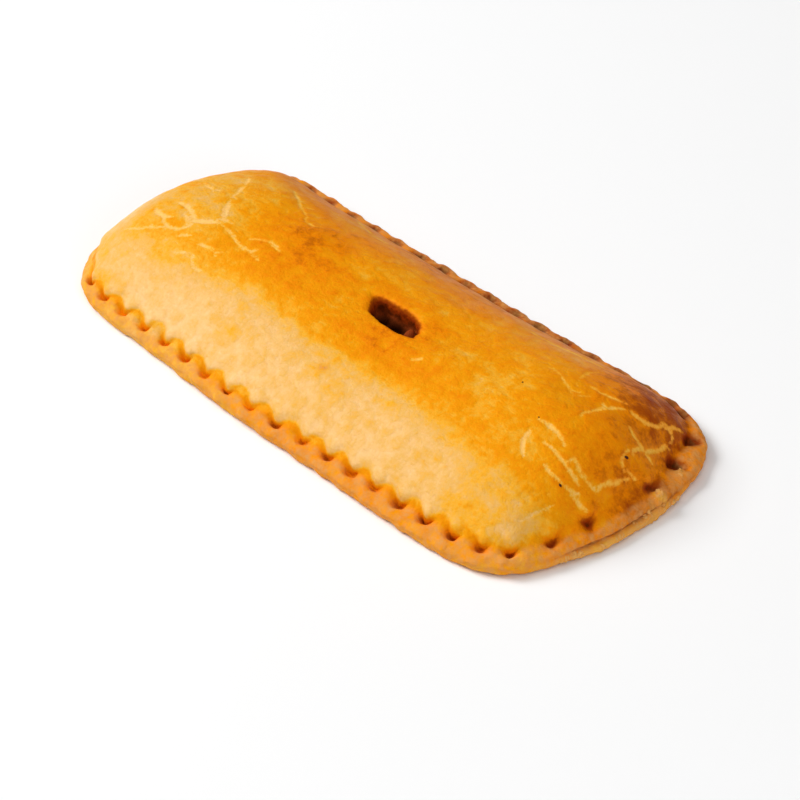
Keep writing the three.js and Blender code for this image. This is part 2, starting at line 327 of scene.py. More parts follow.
# A brown fleck under the glaze, as (x, y, spread), and dark specks on the crust, as (x, y, radius)
FLECK = (6.0, -24.0, 1.3)
FLECK_STRENGTH = 1.7
SPECKS = ((48.6, 2.6, 0.35), (60.4, -3.6, 0.3), (76.6, -12.4, 0.6), (79.2, 7.5, 0.65))
SPECK_SINK = 0.45
SPECK_FLATNESS = 0.7
SPECK_GRAIN = 0.3

# Lumps of dough squeezed out of the rim: (x, y, spread, height)
DOUGH_LUMPS = ((87.3, 10.6, 1.7, 1.2), (84.6, 21.2, 1.3, 0.7), (89.0, 7.0, 1.4, 0.6))
LUMP_RAGGEDNESS = 1.2

# Crumbs on the bare dough, small ones more often than large ones
CRUMBS = 85
CRUMB_RADII = (0.5, 1.05)
CRUMB_RADIUS_POWER = 1.5
CRUMB_LOWEST = 1.2
CRUMB_LEAST_BARENESS = 0.3
CRUMB_SINK = 0.6
CRUMB_CLUMP = 4.5
CRUMB_CLUMP_EDGE = 0.05
CRUMB_SEED = 5
CRUMB_FLATNESS = 0.6
CRUMB_GRAIN = 0.6
# The shape of one crumb or speck
LUMP_WIDTHS = (0.7, 1.0)
LUMP_ROUGHNESS = 0.5
LUMP_BUMPS = 1.7
LUMP_SEEDS = (-50.0, 50.0)
LUMP_SUBDIVISIONS = 2

# Patterns of the glaze and the dough: (name, size, detail, roughness, whether the brush drew it out)
PATTERNS = (
    ("blotch", 17.0, 3.0, 0.55, False),
    ("mottle", 4.2, 4.0, 0.6, False),
    ("streak", 4.5, 3.0, 0.5, True),
    ("fleck", 1.9, 2.0, 0.6, False),
    ("grain", 0.7, 3.0, 0.7, False),
)
# Heading of the brush in radians, and the scale of its streaks along it
BRUSH_HEADING = 0.35
BRUSH_SHRINKING = 0.3
# How strongly the patterns stir the browning, the edge of the thin wash and painted highlight, and the
# edges of the cracks
STRAYS = {
    "brown": (("blotch", 0.08), ("mottle", 0.075), ("streak", 0.06), ("fleck", 0.065), ("grain", 0.03)),
    "pale": (("blotch", 0.42), ("streak", 0.24), ("mottle", 0.18)),
    "crack": (("blotch", 0.2), ("mottle", 0.25), ("grain", 0.2)),
}
# Relief that the patterns make, too fine for the mesh: (name, strength, depth)
FINE_RELIEF = (("mottle", 0.5, 0.3), ("fleck", 0.4, 0.12), ("grain", 0.4, 0.08))

# Where thin wash and painted highlight, cracks, the filling, and its lumps above the painted shade of its
# hollows start to show and show fully
PALE_EDGE = (0.15, 0.85)
CRACK_EDGE = (0.46, -0.5)
FILLING_SHOWS = (0.05, 0.16)
FILLING_HEIGHTS = (12.0 * MM, 15.5 * MM)
# The browning at which the crust has each of its colours
COLOUR_STOPS = (
    ("dough", 0.0), ("golden", 0.2), ("honey", 0.31), ("amber", 0.4),
    ("orange", 0.56), ("brown", 0.72), ("pit", 0.86), ("burnt_and_shade", 1.0),
)
# How strongly the dry rim's colour shows, with its flecks, and those of bare dough and of the cracks
RIM_DRYNESS = 0.45
RIM_FLECKS = 0.6
BARE_STRENGTH = 0.5
TORN_STRENGTH = 0.6
# Shine of the glaze
GLEAM = 0.13
GLEAM_LOST_IN_VENT = 4.0
GLAZE_ROUGHNESS = 0.5
ROUGHER_MOTTLES = 0.1
ROUGHER_MATTE = 0.3
# Size of the tooth of the floor's paper
PAPER_TOOTH = 1.5

# Soft lights: (name, azimuth and elevation in degrees, distance and size in metres)
SOFTBOXES = (
    ("key", -62.0, 41.0, 2.1, 1.1),
    ("side", 75.0, 20.0, 2.1, 1.4),
    ("top", 47.0, 76.0, 2.6, 3.2),
)
# Half size of the floor in metres, its drop below the pastry, and the width of the camera's sensor
FLOOR_HALF_SIZE = 3.0
FLOOR_DROP = 0.05
SENSOR_WIDTH = 36.0


def srgb(code):
    """A hex colour as linear red, green, blue and full alpha."""
    shares = [int(code[i:i + 2], 16) / 255.0 for i in (1, 3, 5)]
    linear = [s / 12.92 if s <= 0.04045 else ((s + 0.055) / 1.055) ** 2.4 for s in shares]
    return (*linear, 1.0)


def bell(distance, spread):
    """A bell of height 1, from a distance and a half width."""
    return np.exp(-((distance / spread) ** 2))


def spot(places, x, y, spread):
    """A bell of height 1 about a point in plan."""
    return bell(np.hypot(places[:, 0] - x, places[:, 1] - y), spread)


def smooth_step(low, high, value):
    """0 below low, 1 above high, and smooth between them."""
    share = np.clip((value - low) / (high - low), 0.0, 1.0)
    return share * share * (3.0 - 2.0 * share)


def scatter(index):
    """A number from 0 to 1 that looks random and is fixed for each whole number."""
    value = math.sin(index * SCATTER_STEP + SCATTER_SEED) * SCATTER_SCALE
    return value - math.floor(value)


def lumps(points, layers, seed):
    """Uneven heights at the given points, from layers of (wavelength, height)."""
    along, up = SEED_SHIFTS
    total = np.zeros(len(points))
    for layer, (wavelength, height) in enumerate(layers):
        shift = Vector((seed * along, layer * LAYER_SHIFT, seed * up))
        total += height * np.array([noise.noise(Vector(p) / wavelength + shift) for p in points])
    return total


class PastryForm:
    """The pastry's surface in millimetres: outline, rim section, crimp, dome and vent."""

    def __init__(self, sizes):
        self.half_length = sizes.length / MM / 2.0
        self.half_width = sizes.width / MM / 2.0
        self.crown = sizes.crown / MM
        self.sag_depth = sizes.sag / MM
        self.teeth = sizes.teeth
        self.lobe_out = sizes.lobe_out / MM
        self.vent_half_length = sizes.vent_length / MM / 2.0
        self.vent_half_width = sizes.vent_width / MM / 2.0
        self.vent_depth = sizes.vent_depth / MM
        self.columns = self.teeth * COLUMNS_PER_TOOTH
        self.rim_rows = (len(NEAR_RIM) - 1) * ROWS_PER_RIM_SPAN
        self.rows = BOTTOM_ROWS + self.rim_rows + DOME_ROWS
        self.share = np.linspace(0.0, 1.0, self.columns + 1)
        self.lay_outline()
        self.lay_crimp()

    def outline_at(self, turn):
        """Points of the plan outline, at shares of a full turn about the middle."""
        angle = 2.0 * math.pi * turn
        across = np.abs(np.cos(angle))
        up = np.abs(np.sin(angle))
        reach = np.ones_like(angle)
        for _ in range(NEWTON_STEPS):
            length_term = (reach * across) ** SIDE_STRAIGHTNESS
            width_term = (reach * up) ** END_ROUNDNESS
            slope = (SIDE_STRAIGHTNESS * length_term + END_ROUNDNESS * width_term) / reach
            reach = reach - (length_term + width_term - 1.0) / slope
        return np.column_stack(
            [self.half_length * reach * np.cos(angle), self.half_width * reach * np.sin(angle)]
        )

    def outness(self, place):
        """How far out places lie: 0 in the middle, 1 on the plan outline."""
        length_term = np.abs(place[..., 0] / self.half_length) ** SIDE_STRAIGHTNESS
        width_term = np.abs(place[..., 1] / self.half_width) ** END_ROUNDNESS
        return length_term + width_term

    def lay_outline(self):
        """The edge of the dough and its outward direction, at equal steps of length."""
        turns = np.linspace(0.0, 1.0, ARC_DIVISIONS + 1)
        steps = np.linalg.norm(np.diff(self.outline_at(turns), axis=0), axis=1)
        run = np.concatenate([[0.0], np.cumsum(steps)])
        self.edge_length = run[-1]
        edge = self.outline_at(np.interp(self.share * run[-1], run, turns))
        outward = np.column_stack(
            [
                power * np.sign(at) * np.abs(at) ** (power - 1.0) / half
                for at, power, half in (
                    (edge[:, 0] / self.half_length, SIDE_STRAIGHTNESS, self.half_length),
                    (edge[:, 1] / self.half_width, END_ROUNDNESS, self.half_width),
                )
            ]
        )
        self.outward = outward / np.linalg.norm(outward, axis=1)[:, None]
        self.edge = edge + self.outward * self.stray_at(self.share, EDGE_BULGES)[:, None]
        spine_half = self.half_length - self.half_width
        self.spine = np.column_stack(
            [spine_half * np.cos(2.0 * math.pi * self.share), np.zeros(self.columns + 1)]
        )

    def along_edge(self, share, at):
        """Distance along the edge between shares of the way round, the short way and with its sign."""
        return (np.mod(share - at + 0.5, 1.0) - 0.5) * self.edge_length

    def stray_at(self, share, strays):
        """What strays, each a (share of the way round, amount, spread), add up to at the given shares."""
        return sum(amount * bell(self.along_edge(share, at), spread) for at, amount, spread in strays)

    def crimp_at(self, half_length, lead):
        """How strongly the teeth press at every column, with a shape set off along the edge."""
        most = np.zeros(self.columns + 1)
        for tooth in range(self.teeth):
            if tooth in RUBBED_OUT_TEETH:
                continue
            strength = 1.0 - TOOTH_UNEVENNESS * scatter(tooth)
            slide = SLID_TEETH.get(tooth, 0.0) + self.stray_at(tooth / self.teeth, TOOTH_STRAYS)
            along = self.along_edge(self.share, (tooth + slide) / self.teeth)
            most = np.maximum(most, strength * bell(along - lead, half_length))
        return most

    def lay_crimp(self):
        """The rim's section, the pits and the lobes at every column."""
        self.pit = self.crimp_at(PIT_HALF_LENGTH, 0.0)
        far = smooth_step(*FAR_SIDE, self.edge[:, 1])
        self.lobe = self.crimp_at(LOBE_HALF_LENGTH, LOBE_LEAD) * (1.0 - (1.0 - FAR_LOBE) * far)
        bump = RIM_BUMP * self.crimp_at(RIM_BUMP_HALF_LENGTH, 0.0)
        self.open = np.minimum(self.stray_at(self.share, OPEN_SEAMS), 1.0)
        flat = far[None, :, None]
        parted = self.open[None, :, None]
        shut = NEAR_RIM[:, None, :] * (1.0 - flat) + FAR_RIM[:, None, :] * flat
        shut[..., 0] *= 1.0 + self.stray_at(self.share, RIM_WIDENINGS)
        self.rim = shut * (1.0 - parted) + OPEN_RIM[:, None, :] * parted
        self.foot = self.edge - self.outward * self.rim[-1, :, :1]
        self.foot_height = self.rim[-1, :, 1].copy()
        self.pit_floor = PIT_FLOOR + (OPEN_PIT_FLOOR - PIT_FLOOR) * self.open
        self.pit_drop = self.pit * (self.foot_height - self.pit_floor)
        for row, near_part, far_part in PIT_ROWS:
            self.rim[row, :, 1] -= (near_part * (1.0 - far) + far_part * far) * self.pit_drop
        self.rim[RIM_BUMP_ROWS, :, 0] -= bump * (1.0 - self.open)
        self.power = DOME_POWER + self.stray_at(self.share, DOME_POWER_STRAYS)

    def swell(self, place):
        """Low swells over the whole crust, from a few crossing waves."""
        height = np.zeros(place.shape[:-1])
        for wave in range(1, SURFACE_WAVES + 1):
            heading = wave * GOLDEN_ANGLE
            wave_number = 2.0 * math.pi * (1.0 + WAVE_STEP * wave) / LONGEST_WAVE
            run = place[..., 0] * math.cos(heading) + place[..., 1] * math.sin(heading)
            height += np.sin(run * wave_number + 2.0 * math.pi * scatter(wave)) / SURFACE_WAVES
        return height * WAVE_HEIGHT * math.sqrt(SURFACE_WAVES)

    def sag(self, place):
        """How far the crust has sunk about the vent."""
        along = bell(place[..., 0] - VENT_X, SAG_LENGTH)
        return self.sag_depth * along * bell(place[..., 1] - VENT_Y, SAG_WIDTH)

    def rim_row(self, row):
        """A row of the rim: a smooth curve through the rows of its section."""
        at = row / ROWS_PER_RIM_SPAN
        span = min(int(at), len(self.rim) - 2)
        t = at - span
        before, start, end, after = (
            self.rim[min(max(span + k, 0), len(self.rim) - 1)] for k in (-1, 0, 1, 2)
        )
        section = 0.5 * (
            2.0 * start
            + (end - before) * t
            + (2.0 * before - 5.0 * start + 4.0 * end - after) * t**2
            + (3.0 * start - before - 3.0 * end + after) * t**3
        )
        place = self.edge - self.outward * section[:, :1]
        return np.column_stack([place, np.maximum(section[:, 1], 0.0)])

    def dome_row(self, share):
        """A row of the dome, at a share of the way from the crimp to the spine."""
        place = self.foot * (1.0 - share) + self.spine * share
        inside = np.maximum(1.0 - self.outness(place) / self.outness(self.foot), 0.0)
        soft = DOME_SOFTNESS**self.power
        full = (1.0 + DOME_SOFTNESS) ** self.power
        rise = ((inside + DOME_SOFTNESS) ** self.power - soft) / (full - soft)
        reach = share * np.linalg.norm(self.foot - self.spine, axis=1)
        crest = reach / LOBE_CREST * np.exp(0.5 - 0.5 * (reach / LOBE_CREST) ** 2)
        out = (self.lobe_out * self.lobe - SADDLE_IN * (1.0 - self.lobe)) * crest
        place = place + self.outward * out[:, None]
        relief = self.swell(place) - self.sag(place)
        drop = self.pit_drop * bell(reach, PIT_WALL)
        height = self.foot_height + (self.crown - self.foot_height + relief) * rise - drop
        return np.column_stack([place, height])

    def surface(self):
        """Grid points, row by row from the bottom to the spine, and how far each is from the crimp."""
        rows = []
        reach = []
        rim_start = self.rim_row(0)
        for k in range(BOTTOM_ROWS):
            share = k / BOTTOM_ROWS
            plan = self.spine * (1.0 - share) + rim_start[:, :2] * share
            rows.append(np.column_stack([plan, np.zeros(self.columns + 1)]))
            reach.append(np.full(self.columns + 1, BOTTOM_REACH))
        rim = [self.rim_row(k) for k in range(self.rim_rows + 1)]
        back = [np.zeros(self.columns + 1)]
        for outer, inner in zip(rim[-2::-1], rim[:0:-1]):
            back.append(back[-1] - np.linalg.norm(outer - inner, axis=1))
        rows.extend(rim)
        reach.extend(back[::-1])
        for k in range(1, DOME_ROWS + 1):
            t = k / DOME_ROWS
            share = t * (FIRST_DOME_STEP + (1.0 - FIRST_DOME_STEP) * t)
            rows.append(self.dome_row(share))
            reach.append(share * np.linalg.norm(self.foot - self.spine, axis=1))
        return np.array(rows), np.array(reach)

    def vent_share(self, x, y):
        """How far out a place lies in the ragged outline of the vent: 1 at its lip."""
        across = y - VENT_Y
        along = x - VENT_X - VENT_SLANT * across
        angle = math.atan2(across / self.vent_half_width, along / self.vent_half_length)
        around = Vector((VENT_RAGS * math.cos(angle), VENT_RAGS * math.sin(angle), VENT_RAG_SEED))
        ragged = noise.noise(around)
        along_term = abs(along / self.vent_half_length) ** VENT_SQUARENESS
        across_term = abs(across / self.vent_half_width) ** VENT_SQUARENESS
        share = (along_term + across_term) ** (1.0 / VENT_SQUARENESS)
        return share * (1.0 + VENT_RAGGEDNESS * ragged)

    def vent_height(self, share, x, y):
        """Height of the vent's wall or of the filling in it."""
        floor = self.crown - self.sag_depth - self.vent_depth
        wall = float(np.interp(share, *zip(*VENT_WALL)))
        lump = FILLING_LUMP_HEIGHT * noise.noise(Vector((x, y, 0.0)) / FILLING_LUMP_SIZE)
        morsel_x, morsel_y, spread, height = FILLING_MORSEL
        morsel = height * math.exp(-((math.hypot(x - morsel_x, y - morsel_y) / spread) ** 2))
        inside = 1.0 - float(smooth_step(*FILLING_EDGE, share))
        return floor + wall + (lump + morsel) * inside


def set_field(mesh, name, values):
    """Stores one number for each vertex."""
    field = mesh.attributes.get(name) or mesh.attributes.new(name, "FLOAT", "POINT")
    field.data.foreach_set("value", np.asarray(values, np.float32))


def get_field(mesh, name):
    """Reads the numbers that set_field stored."""
    values = np.zeros(len(mesh.vertices), np.float32)
    mesh.attributes[name].data.foreach_get("value", values)
    return values.astype(float)


def places_of(mesh):
    """The vertices' places in millimetres."""
    values = np.zeros(len(mesh.vertices) * 3, np.float32)
    mesh.vertices.foreach_get("co", values)
    return values.reshape(-1, 3).astype(float) / MM


def normals_of(mesh):
    """The vertices' outward directions."""
    values = np.zeros(len(mesh.vertices) * 3, np.float32)
    mesh.vertex_normals.foreach_get("vector", values)
    return values.reshape(-1, 3).astype(float)


def set_places(mesh, places):
    """Moves the vertices to places in millimetres."""
    mesh.vertices.foreach_set("co", np.asarray(places * MM, np.float32).ravel())
    mesh.update()


def mesh_from(shape, name):
    """A mesh with the faces of a bmesh, which is then done with."""
    mesh = bpy.data.meshes.new(name)
    shape.to_mesh(mesh)
    shape.free()
    return mesh


def lay_dough(form):
    """A grid laid over the pastry's form, with what the crimp does stored at each vertex."""
    grid = bmesh.new()
    bmesh.ops.create_grid(grid, x_segments=form.columns, y_segments=form.rows, size=0.5)
    mesh = mesh_from(grid, "crust")
    flat = places_of(mesh) * MM + 0.5
    column = np.rint(flat[:, 0] * form.columns).astype(int)
    row = np.rint(flat[:, 1] * form.rows).astype(int)
    points, reach = form.surface()
    middle = (points.min(axis=(0, 1)) + points.max(axis=(0, 1))) / 2.0
    points[..., :2] -= middle[:2]
    set_places(mesh, points[row, column])
    columns = (form.pit[column], form.pit_floor[column], form.lobe[column], form.open[column])
    for name, values in zip(CRIMP_FIELDS, (reach[row, column], *columns)):
        set_field(mesh, name, values)
    return mesh, middle


def cut_vent(form, mesh, middle):
    """Closes the grid along its seams and sinks the vent into the finer mesh about it."""
    shell = bmesh.new()
    shell.from_mesh(mesh)
    bmesh.ops.remove_doubles(shell, verts=shell.verts, dist=MERGE_DISTANCE)
    bmesh.ops.recalc_face_normals(shell, faces=shell.faces)

    def share_at(vertex):
        return form.vent_share(vertex.co.x / MM + middle[0], vertex.co.y / MM + middle[1])

    def is_top(vertex):
        return vertex.co.z > form.crown * MM / 2.0

    near = {v for v in shell.verts if is_top(v) and share_at(v) < VENT_REACH}
    edges = [e for e in shell.edges if e.verts[0] in near and e.verts[1] in near]
    bmesh.ops.subdivide_edges(shell, edges=edges, cuts=VENT_CUTS, use_grid_fill=True)
    filling = shell.verts.layers.float.new("filling")
    for vertex in shell.verts:
        share = share_at(vertex) if is_top(vertex) else VENT_REACH
        vertex[filling] = 1.0 - min(share, VENT_REACH)
        if share >= VENT_REACH:
            continue
        x = vertex.co.x / MM + middle[0]
        y = vertex.co.y / MM + middle[1]
        crust = vertex.co.z / MM
        wall = form.vent_height(share, x, y)
        lower = min(crust, wall)
        gap = abs(crust - wall)
        vertex.co.z = (lower - VENT_LIP_SOFTNESS * math.exp(-gap / VENT_LIP_SOFTNESS)) * MM
    shell.to_mesh(mesh)
    shell.free()


def crack_path(draw, start, heading, length, bend):
    """Plan points of one crack, wandering along its bend."""
    steps = max(int(length / CRACK_STEP), FEWEST_CRACK_STEPS)
    wander = 0.0
    points = [np.array(start, float)]
    headings = []
    for k in range(steps):
        wander = CRACK_STRAIGHTENING * wander + draw.normal(0.0, CRACK_WANDER)
        angle = heading + bend * k / steps + wander
        headings.append(angle)
        points.append(points[-1] + CRACK_STEP * np.array([math.cos(angle), math.sin(angle)]))
    return np.array(points[:-1]), headings


def crack_points():
    """Plan points of every crack and its side branches, with the half width at each."""
    draw = np.random.default_rng(CRACK_SEED)
    points = []
    widths = []

    def add(path, half_width):
        taper = np.sin(math.pi * np.linspace(*CRACK_TAPER, len(path))) ** 0.5
        uneven = draw.uniform(*CRACK_WIDTHS, len(path))
        points.extend(path)
        widths.extend(half_width * taper * uneven)

    for x, y, heading, length, bend, half_width in CRACKS:
        path, headings = crack_path(draw, (x, y), math.radians(heading), length, math.radians(bend))
        add(path, half_width)
        side = 1.0
        at = BRANCH_SPACING * draw.uniform(*FIRST_BRANCH)
        while at < length - BRANCH_CLEARANCE:
            step = min(int(at / CRACK_STEP), len(path) - 1)
            turn = side * draw.uniform(*BRANCH_ANGLES)
            branch_length = draw.uniform(*BRANCH_LENGTHS)
            branch, _ = crack_path(draw, path[step], headings[step] + turn, branch_length, 0.0)
            add(branch, half_width * BRANCH_WIDTH)
            side = -side
            at += BRANCH_SPACING * draw.uniform(*NEXT_BRANCH)
    return np.array(points), np.array(widths)


def crack_gaps(places, reach):
    """Distance from each place on the dome to the nearest crack's edge, below 0 inside it."""
    on_dome = np.flatnonzero(reach > CRACK_START)
    plan = KDTree(len(on_dome))
    for k, vertex in enumerate(on_dome):
        plan.insert((places[vertex, 0], places[vertex, 1], 0.0), k)
    plan.balance()
    points, widths = crack_points()
    cracks = KDTree(len(points))
    for k, (x, y) in enumerate(points):
        _, nearest, _ = plan.find((x, y, 0.0))
        cracks.insert((x, y, places[on_dome[nearest], 2]), k)
    cracks.balance()
    gaps = np.full(len(places), CRACK_REACH)
    for vertex in on_dome:
        _, nearest, distance = cracks.find(places[vertex])
        gaps[vertex] = min(distance - widths[nearest], CRACK_REACH)
    return gaps


def browning_and_shade(places, fields):
    """How brown each place is baked, from the hand of the baker and the heat of the oven.

    Painted shade darkens it further in the pits of the crimp, on the far side and down the vent.
    """
    x, y, z = places.T
    reach, opening, filling = fields["reach"], fields["open"], fields["filling"]
    far = smooth_step(*FAR_DARKENING, y)
    left = smooth_step(*LEFT_PALENESS, -x)
    right = smooth_step(*RIGHT_DARKENING, x)
    on_rim = 1.0 - smooth_step(*RIM_BLEND, reach)
    # The far side and its rim are darker, from browner baking and from painted shadow
    top = BROWNING_ON_TOP + DARKER_FAR_SIDE * far
    rim = BROWNING_ON_RIM + DARKER_FAR_RIM * far * (1.0 - right) - PALER_LEFT_RIM * left
    brown = top * (1.0 - on_rim) + rim * on_rim
    for at_x, at_y, spread, change in BROWN_PATCHES:
        brown += change * spot(places, at_x, at_y, spread)
    middle, spread = LOBE_BAND
    brown += BROWNING_ON_LOBES * fields["lobe"] * bell(reach - middle, spread)
    # The crimp's pits are darker: browning, and painted shade, deepest on the far side and at the right
    # end
    pits = BROWNING_AND_SHADE_IN_PITS + DARKER_FAR_PITS * far + DARKER_RIGHT_PITS * right * (1.0 - far)
    brown += pits * in_pits(places, fields)
    brown += BROWNING_ON_VENT_LIP * bell(filling, VENT_LIP_SPREAD)
    # Darker down the vent's wall: browning, and painted shade in the hole
    brown += BROWNING_AND_SHADE_IN_VENT * smooth_step(*VENT_DARKENING, filling)
    brown -= PALER_LEDGE * opening * on_rim * (1.0 - smooth_step(*LEDGE_TOP, z))
    middle, spread = SEAM_BAND
    brown += BROWNING_IN_SEAM * opening * on_rim * bell(z - middle, spread)
    return np.clip(brown, 0.0, 1.0)


def in_pits(places, fields):
    """Where the pits of the crimp are: 1 at their bottom, fading up their walls."""
    height = places[:, 2] - fields["floor"]
    far = smooth_step(*FAR_SIDE, places[:, 1])
    near_spread, far_spread = PIT_STAIN_AND_SHADE_SPREADS
    spread = near_spread * (1.0 - far) + far_spread * far
    stain_and_shade = fields["pit"] * bell(fields["reach"] - PIT_STAIN_AND_SHADE_REACH, spread)
    return stain_and_shade * (1.0 - smooth_step(*PIT_STAIN_AND_SHADE_HEIGHTS, height))


def thin_wash_and_highlight(places, fields):
    """Where the egg was brushed thin, and a painted highlight: along the near flank and round the left
    end's near corner.

    It lay thicker between the lobes of the crimp than on them.
    """
    x, y, _ = places.T
    right_edge, left_edge = WASH_AND_HIGHLIGHT_EDGES
    edge = right_edge + (left_edge - right_edge) * smooth_step(*WASH_AND_HIGHLIGHT_TURN, -x)
    lost = WASH_AND_HIGHLIGHT_LOST * smooth_step(*WASH_AND_HIGHLIGHT_RIGHT, x)
    near = smooth_step(edge, edge + WASH_AND_HIGHLIGHT_FADE, -y) * (1.0 - lost)
    left = smooth_step(*WASH_AND_HIGHLIGHT_LEFT, -x) * (1.0 - smooth_step(*WASH_AND_HIGHLIGHT_CORNER, y))
    on_lobe = smooth_step(*WASH_AND_HIGHLIGHT_ON_LOBES, fields["reach"])
    between = smooth_step(*WASH_AND_HIGHLIGHT_BETWEEN_LOBES, fields["reach"])
    crimp = between + (on_lobe - between) * fields["lobe"]
    return np.maximum(near, left) * crimp


def dry_rim(places, fields):
    """Where the rim is dry: outside the crimp, and only near the lip where the two sheets part."""
    outside = fields["reach"] + DRY_LIP * fields["open"]
    return (1.0 - smooth_step(*DRY_RIM, outside)) * (1.0 - in_pits(places, fields))


def bare_dough(places, fields):
    """Where the dough has no egg wash: the bottom, the parted lower sheet and the squeezed-out lumps."""
    outside = 1.0 - smooth_step(*BARE_RIM, fields["reach"])
    below = 1.0 - smooth_step(*BARE_HEIGHTS, places[:, 2])
    bare = outside * (BARE_WHERE_SHUT + (1.0 - BARE_WHERE_SHUT) * fields["open"]) * below
    for x, y, spread, _ in DOUGH_LUMPS:
        bare = np.maximum(bare, spot(places, x, y, spread))
    return bare


def bake(mesh):
    """Gives the dough its unevenness, cracks and browning."""
    fields = {name: get_field(mesh, name) for name in (*CRIMP_FIELDS, "filling")}
    places = places_of(mesh)
    gaps = crack_gaps(places, fields["reach"])
    bare = bare_dough(places, fields)
    on_dome = smooth_step(*DOME_START, fields["reach"])
    relief = lumps(places, DOME_LUMPS, DOME_SEED) * on_dome
    relief += lumps(places, RIM_LUMPS, RIM_SEED) * (1.0 - on_dome)
    relief += lumps(places, LEDGE_LUMPS, LEDGE_SEED) * bare
    for x, y, spread, height in DOUGH_LUMPS:
        ragged = 1.0 + lumps(places, ((spread / 2.0, LUMP_RAGGEDNESS),), SQUEEZED_SEED)
        relief += height * ragged * spot(places, x, y, spread)
    relief -= CRACK_DEPTH * (1.0 - smooth_step(*CRACK_WALL, gaps))
    relief *= smooth_step(0.0, BOTTOM_CLEARANCE, places[:, 2])
    relief *= 1.0 - np.clip(fields["filling"] * VENT_SMOOTHING, 0.0, VENT_SMOOTHEST)
    moved = places + normals_of(mesh) * relief[:, None]
    moved[:, 2] = np.maximum(moved[:, 2], 0.0)
    set_places(mesh, moved)
    set_field(mesh, "brown", browning_and_shade(places, fields))
    # Paler where the egg was brushed thin, with a painted highlight on the near flank
    set_field(mesh, "pale", thin_wash_and_highlight(places, fields))
    set_field(mesh, "dry", dry_rim(places, fields) + FLECK_STRENGTH * spot(places, *FLECK) * on_dome)
    set_field(mesh, "bare", bare)
    set_field(mesh, "crack", gaps)
    for name in CRIMP_FIELDS:
        mesh.attributes.remove(mesh.attributes[name])


def add_lump(pile, draw, place, radius, flatness):
    """Adds one uneven lump, lying any way round, to a pile of them."""
    turn = Euler(draw.uniform(0.0, 2.0 * math.pi, 3)).to_quaternion()
    scale = Vector((radius, radius * draw.uniform(*LUMP_WIDTHS), radius * flatness))
    lump = bmesh.ops.create_icosphere(pile, subdivisions=LUMP_SUBDIVISIONS, radius=1.0)["verts"]
    seed = Vector(draw.uniform(*LUMP_SEEDS, 3))
    for vertex in lump:
        vertex.co *= 1.0 + LUMP_ROUGHNESS * noise.noise(vertex.co * LUMP_BUMPS + seed)
    bmesh.ops.transform(pile, matrix=Matrix.LocRotScale(Vector(place), turn, scale), verts=lump)


def add_lumps(name, spots, flatness, material):
    """Makes one piece of lumps from (place, radius) spots in millimetres."""
    draw = np.random.default_rng(CRUMB_SEED)
    pile = bmesh.new()
    for place, radius in spots:
        add_lump(pile, draw, place * MM, radius * MM, flatness)
    add_piece(name, mesh_from(pile, name), material)


def crumb_spots(crust):
    """Places for the crumbs, in clumps on the bare dough."""
    draw = np.random.default_rng(CRUMB_SEED)
    places = places_of(crust)
    normals = normals_of(crust)
    clumped = np.array([noise.noise(Vector(place) / CRUMB_CLUMP) > CRUMB_CLUMP_EDGE for place in places])
    bare = (get_field(crust, "bare") > CRUMB_LEAST_BARENESS) & (places[:, 2] > CRUMB_LOWEST)
    for vertex in draw.choice(np.flatnonzero(bare & clumped), CRUMBS, replace=False):
        radius = draw.uniform(*CRUMB_RADII) ** CRUMB_RADIUS_POWER
        yield places[vertex] - normals[vertex] * radius * CRUMB_SINK, radius


def marked_spots(crust, marks, sink):
    """Places for lumps that are set one by one on the top of the crust, as (x, y, radius)."""
    places = places_of(crust)
    normals = normals_of(crust)
    for x, y, radius in marks:
        off = np.hypot(places[:, 0] - x, places[:, 1] - y) + FACING_DOWN * (normals[:, 2] < 0.0)
        vertex = off.argmin()
        yield places[vertex] - normals[vertex] * radius * sink, radius


def add_piece(name, mesh, material):
    """Puts a finished mesh in the scene as a piece that rides with the pastry."""
    mesh.materials.append(material)
    mesh.shade_smooth()
    piece = bpy.data.objects.new(name, mesh)
    bpy.context.scene.collection.objects.link(piece)
    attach(piece, BODY)
    return piece


def add_node(tree, kind, inputs=None, output=0, **settings):
    """Adds a shader node with its settings and its inputs, as values or as sockets to link.

    It returns one of the node's outputs.
    """
    node = tree.nodes.new("ShaderNode" + kind)
    for name, value in settings.items():
        setattr(node, name, value)
    for key, value in (inputs or {}).items():
        if isinstance(value, bpy.types.NodeSocket):
            tree.links.new(value, node.inputs[key])
        else:
            node.inputs[key].default_value = value
    return None if output is None else node.outputs[output]


def per_mm(size):
    """The scale of a pattern whose cells are this many millimetres across."""
    return 1.0 / (size * MM)


def new_material(name):
    """A material, its node tree, and the place on the object that its patterns follow."""
    material = bpy.data.materials.new(name)
    material.use_nodes = True
    tree = material.node_tree
    tree.nodes.clear()
    return material, tree, add_node(tree, "TexCoord", output="Object")


